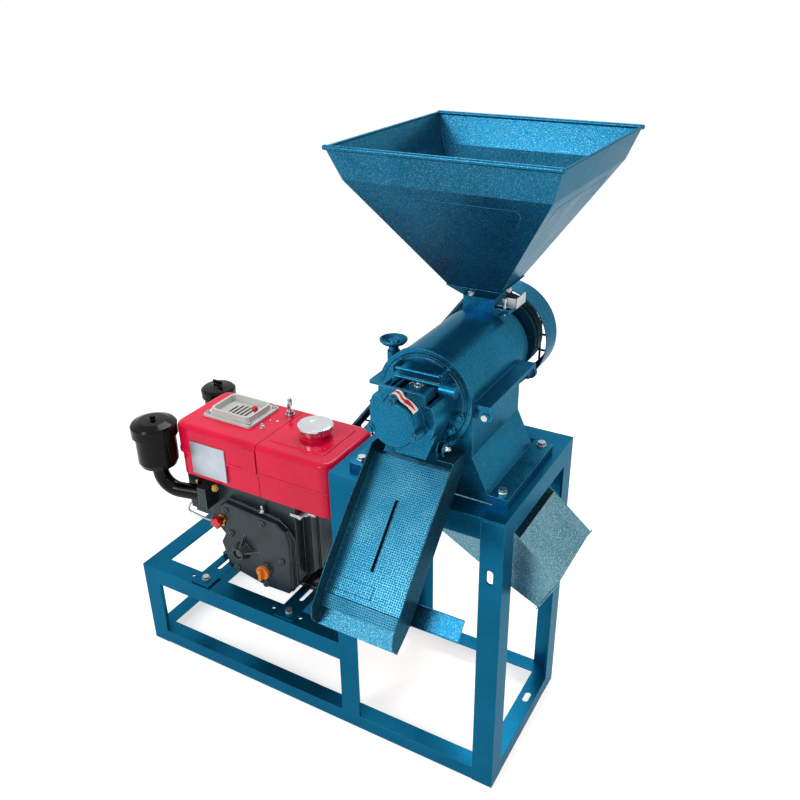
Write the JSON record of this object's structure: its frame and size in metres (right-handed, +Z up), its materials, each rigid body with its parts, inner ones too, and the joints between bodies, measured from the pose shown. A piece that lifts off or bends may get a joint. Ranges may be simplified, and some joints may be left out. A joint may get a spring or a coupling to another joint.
{
  "type": "diesel rice huller",
  "caption": "Rice huller with a square hopper, round milling chamber, rice tray and bran chute on an angle-iron frame, belt-driven by a small diesel engine.",
  "frame": {"origin": "on the floor below the middle of the overall box", "axes": "+X along the frame from the engine towards the huller, +Y from the rice tray side to the belt side, +Z up"},
  "size_m": [1.118, 0.7964, 1.382],
  "materials": {
    "aluminium": "cast",
    "bare_iron": "machined",
    "bare_steel": "ground",
    "belt_rubber": "matt",
    "black_mesh": "satin",
    "black_paint": "gloss",
    "blue_paint": "hammer-tone gloss",
    "brass": "plated",
    "chrome": "mirror",
    "grey_casting": "satin",
    "orange_plastic": "satin",
    "red_paint": "gloss",
    "red_plastic": "gloss",
    "white_plastic": "satin",
    "zinc_steel": "zinc plated"
  },
  "bodies": {
    "machine": {"air_cleaner": "black_paint", "base_rails": "blue_paint", "bearing_cap": "blue_paint", "bearing_housing": "blue_paint", "belt_guard": "blue_paint", "bran_duct": "blue_paint", "broken_rice_trough": "blue_paint", "crankcase": "grey_casting", "cylinder_head": "grey_casting", "drain_cock": "brass", "drive_belts": "belt_rubber", "end_plate": "blue_paint", "engine_deck_rails": "blue_paint", "engine_mount_rails": "blue_paint", "exhaust_elbow": "black_paint", "feed_box": "blue_paint", "float_grille": "white_plastic", "front_left_leg": "blue_paint", "front_middle_leg": "blue_paint", "front_right_leg": "blue_paint", "fuel_tank": "red_paint", "fuel_tap": "aluminium", "gear_cover": "grey_casting", "guard_mesh": "black_mesh", "hinge_pins": "zinc_steel", "hopper": "blue_paint", "huller_base": "blue_paint", "huller_deck_rails": "blue_paint", "injection_pipe": "zinc_steel", "intake_elbow": "black_paint", "lifting_eye": "zinc_steel", "machine_bolts": "zinc_steel", "muffler": "black_paint", "rear_bearing_housing": "blue_paint", "rear_left_leg": "blue_paint", "rear_middle_leg": "blue_paint", "rear_right_leg": "blue_paint", "rice_knife": "bare_steel", "rice_screen": "bare_steel", "rice_tray": "blue_paint", "shaft_bearings": "bare_steel", "tray_screen": "blue_paint", "water_hopper": "red_paint"},
    "engine_rotor": {"crankshaft": "bare_steel", "flywheel": "bare_iron", "engine_pulley": "bare_iron"},
    "huller_rotor": {"huller_shaft": "bare_steel", "rotor": "bare_iron", "huller_pulley": "blue_paint"},
    "cover": {"milling_cover": "blue_paint"},
    "cover_handwheel": {"clamp_handwheel": "blue_paint"},
    "starting_shaft": {"start_shaft": "bare_steel"},
    "gate_slide": {"feed_gate": "zinc_steel"},
    "gate_screw": {"gate_lock_screw": "zinc_steel"},
    "outlet_flap": {"outlet_gate": "blue_paint"},
    "fuel_cap": {"tank_cap": "chrome"},
    "oil_cap": {"oil_filler_cap": "orange_plastic"},
    "tap_lever": {"fuel_tap_lever": "zinc_steel"},
    "cock_knob": {"drain_knob": "red_plastic"},
    "level_float": {"water_float": "red_plastic"}
  },
  "joints": [
    {"name": "engine_spin", "type": "hinge", "parent": "machine", "child": "engine_rotor", "pos_m": [-0.177, 0.1412, 0.392], "axis": [0, 1, 0], "continuous": true},
    {"name": "huller_spin", "type": "hinge", "parent": "machine", "child": "huller_rotor", "pos_m": [0.276, 0.0212, 0.935], "axis": [0, 1, 0], "continuous": true},
    {"name": "start_shaft_spin", "type": "hinge", "parent": "machine", "child": "starting_shaft", "pos_m": [-0.251, -0.0788, 0.371], "axis": [0, 1, 0], "continuous": true},
    {"name": "milling_cover_hinge", "type": "hinge", "parent": "machine", "child": "cover", "pos_m": [0.399, 0.0112, 0.917], "axis": [0, 1, 0], "range_deg": [0, 12]},
    {"name": "cover_handwheel_turn", "type": "hinge", "parent": "cover", "child": "cover_handwheel", "pos_m": [0.181, -0.0688, 1.01], "axis": [0, 0, 1], "range_deg": [0, 360]},
    {"name": "feed_gate_slide", "type": "slide", "parent": "machine", "child": "gate_slide", "axis": [1, 0, 0], "range_m": [0, 0.058]},
    {"name": "gate_screw_turn", "type": "hinge", "parent": "machine", "child": "gate_screw", "pos_m": [0.33, 0.1327, 1.045], "axis": [0, 0, 1], "range_deg": [0, 360]},
    {"name": "outlet_flap_hinge", "type": "hinge", "parent": "machine", "child": "outlet_flap", "pos_m": [0.276, -0.1438, 0.999], "axis": [-1, 0, 0], "range_deg": [0, 75]},
    {"name": "fuel_cap_turn", "type": "hinge", "parent": "machine", "child": "fuel_cap", "pos_m": [-0.084, 0.0132, 0.706], "axis": [0, 0, 1], "range_deg": [0, 90]},
    {"name": "oil_cap_turn", "type": "hinge", "parent": "machine", "child": "oil_cap", "pos_m": [-0.186, -0.0988, 0.33], "axis": [0, 1, 0], "range_deg": [0, 360]},
    {"name": "fuel_tap_turn", "type": "hinge", "parent": "machine", "child": "tap_lever", "pos_m": [-0.069, -0.0908, 0.527], "axis": [0, -1, 0], "range_deg": [0, 90]},
    {"name": "drain_knob_turn", "type": "hinge", "parent": "machine", "child": "cock_knob", "pos_m": [-0.319, -0.0988, 0.438], "axis": [0, 1, 0], "range_deg": [0, 360]},
    {"name": "water_float_rise", "type": "slide", "parent": "machine", "child": "level_float", "axis": [0, 0, 1], "range_m": [-0.004, 0.028]}
  ],
  "couplings": [
    {"joint": "huller_spin", "follows": "engine_spin", "ratio": 0.70454},
    {"joint": "start_shaft_spin", "follows": "engine_spin", "ratio": -0.5}
  ]
}
